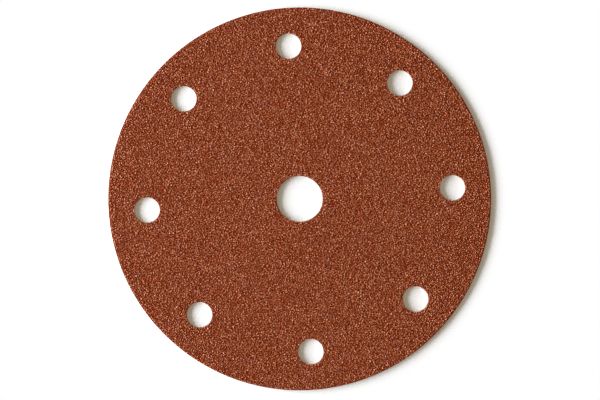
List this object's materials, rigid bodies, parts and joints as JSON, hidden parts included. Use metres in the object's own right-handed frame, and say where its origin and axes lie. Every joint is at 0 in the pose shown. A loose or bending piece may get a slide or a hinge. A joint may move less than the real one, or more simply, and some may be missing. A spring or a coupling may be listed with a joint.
{
  "type": "hook and loop sanding disc",
  "caption": "Round coated-abrasive disc with a loop back and dust holes, pressed onto a random orbital sander's pad.",
  "frame": {"origin": "on the disc's axis, at the foot of the loops, where the disc lies on its loop face", "axes": "+Z along the disc's axis, out of the grit; +X through the middle of a dust hole"},
  "size_m": [0.15, 0.15, 0.0016],
  "materials": {
    "loop_fabric": "matte",
    "backing_paper": "matte",
    "abrasive_coat": "matte"
  },
  "bodies": {
    "root": {"loop_fabric": "loop_fabric", "backing_paper": "backing_paper", "abrasive_coat": "abrasive_coat"}
  },
  "joints": []
}
